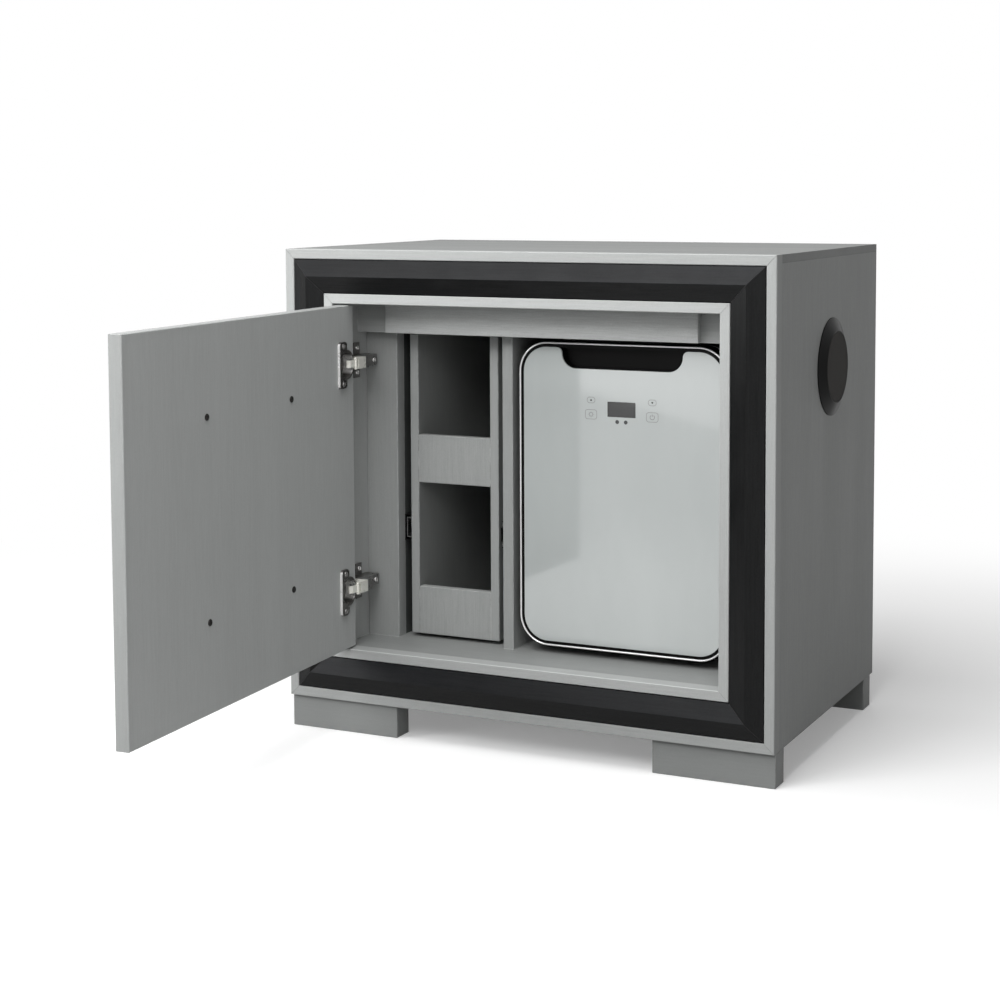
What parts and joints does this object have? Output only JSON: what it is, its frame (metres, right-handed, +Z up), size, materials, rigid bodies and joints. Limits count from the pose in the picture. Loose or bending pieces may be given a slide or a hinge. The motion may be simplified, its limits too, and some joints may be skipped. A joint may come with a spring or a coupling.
{
  "type": "refrigerator nightstand",
  "caption": "Bedside cabinet with a framed false-drawer door on cup hinges, a pull-out can rack, a mini refrigerator with its own door, and side speakers.",
  "frame": {"origin": "on the floor, under the middle of the whole object's box with the nightstand door open as it stands at rest", "axes": "+X to the viewer's right, +Y to the back of the cabinet, +Z up; the front frame's plane is at y = 37.8 mm"},
  "size_m": [0.675, 0.9295, 0.625],
  "materials": {
    "silver_board": "silver-grey wood-grain veneer, satin",
    "grey_board": "mid-grey laminate, satin",
    "rack_board": "mid-grey laminate, satin",
    "black_moulding": "black lacquer, satin",
    "back_board": "dark grey hardboard, matt",
    "hinge_steel": "nickel plated",
    "slide_steel": "zinc plated",
    "handle_steel": "brushed",
    "screw_steel": "zinc plated, dark",
    "white_plastic": "satin",
    "black_plastic": "satin",
    "speaker_trim": "gloss black",
    "speaker_grille": "black paint",
    "driver_steel": "black paint",
    "shell_paint": "black paint, satin",
    "foam": "cream rigid foam",
    "liner_plastic": "white, gloss",
    "clear_plastic": "clear",
    "white_glass": "white back-painted glass, gloss",
    "display_black": "smoked, gloss",
    "bezel_white": "bright silver-white, gloss",
    "gasket_rubber": "grey, matt",
    "sink_aluminium": "plain",
    "module_ceramic": "white ceramic",
    "board_green": "green, satin",
    "foot_rubber": "black, matt"
  },
  "bodies": {
    "cabinet": {"top_panel": "silver_board", "left_side_panel": "silver_board", "right_side_panel": "silver_board", "bottom_panel": "grey_board", "deck_panel": "grey_board", "back_panel": "back_board", "rim_rails": "silver_board", "moulding_lengths": "black_moulding", "inner_rails": "silver_board", "feet": "silver_board", "hinge_wall": "grey_board", "filler_panel": "silver_board", "slide_wall": "grey_board", "right_inner_wall": "grey_board", "divider": "silver_board", "apron_rail": "grey_board", "apron_backer": "grey_board", "hinge_plates": "hinge_steel", "hinge_arms": "hinge_steel", "plate_screws": "hinge_steel", "door_catch": "white_plastic", "slide_cabinet_members": "slide_steel", "speaker_rings": "speaker_trim", "speaker_grilles": "speaker_grille", "speaker_drivers": "driver_steel", "fridge_shell": "shell_paint", "fridge_liner": "liner_plastic", "fridge_foam": "foam", "fridge_shelf": "clear_plastic", "fan_cover": "liner_plastic", "cold_sink": "sink_aluminium", "inner_fan_frame": "black_plastic", "peltier_module": "module_ceramic", "heat_sink": "sink_aluminium", "outer_fan_frame": "black_plastic", "rear_cover": "black_plastic", "power_inlet": "black_plastic", "fridge_feet": "foot_rubber", "fridge_hinge_brackets": "screw_steel"},
    "door": {"door_panel": "silver_board", "door_handles": "handle_steel", "door_screws": "screw_steel", "hinge_cups": "hinge_steel"},
    "hinge_link_pair": {"hinge_links": "hinge_steel"},
    "rack": {"rack_sides": "rack_board", "rack_shelves": "rack_board", "rack_back": "rack_board", "rack_rails": "rack_board", "slide_rack_members": "slide_steel"},
    "middle_slides": {"slide_middle_members": "slide_steel"},
    "fridge_door": {"fridge_door_shell": "black_plastic", "fridge_bezel": "bezel_white", "fridge_glass": "white_glass", "fridge_display": "display_black", "control_board": "board_green", "fridge_door_liner": "liner_plastic", "fridge_gasket": "gasket_rubber", "fridge_door_bins": "clear_plastic"},
    "outer_fan": {"outer_fan_rotor": "black_plastic"},
    "inner_fan": {"inner_fan_rotor": "black_plastic"}
  },
  "joints": [
    {"name": "door_hinge", "type": "hinge", "parent": "cabinet", "child": "door", "pos_m": [-0.2515, 0.04527, 0.3335], "axis": [0, 0, -1], "range_deg": [-87, 4.5]},
    {"name": "hinge_link_turn", "type": "hinge", "parent": "cabinet", "child": "hinge_link_pair", "pos_m": [-0.2355, 0.05177, 0.3335], "axis": [0, 0, -1], "range_deg": [-104.4, 5.4]},
    {"name": "rack_slide", "type": "slide", "parent": "cabinet", "child": "rack", "axis": [0, -1, 0], "range_m": [0, 0.25]},
    {"name": "middle_slide", "type": "slide", "parent": "cabinet", "child": "middle_slides", "axis": [0, -1, 0], "range_m": [0, 0.125]},
    {"name": "fridge_door_hinge", "type": "hinge", "parent": "cabinet", "child": "fridge_door", "pos_m": [0.2304, 0.13477, 0.315], "axis": [0, 0, 1], "range_deg": [0, 95]},
    {"name": "outer_fan_spin", "type": "hinge", "parent": "cabinet", "child": "outer_fan", "pos_m": [0.1024, 0.40377, 0.3538], "axis": [0, 1, 0], "continuous": true},
    {"name": "inner_fan_spin", "type": "hinge", "parent": "cabinet", "child": "inner_fan", "pos_m": [0.1024, 0.31277, 0.3538], "axis": [0, 1, 0], "continuous": true}
  ],
  "couplings": [
    {"joint": "hinge_link_turn", "follows": "door_hinge", "ratio": 1.2},
    {"joint": "middle_slide", "follows": "rack_slide", "ratio": 0.5}
  ]
}
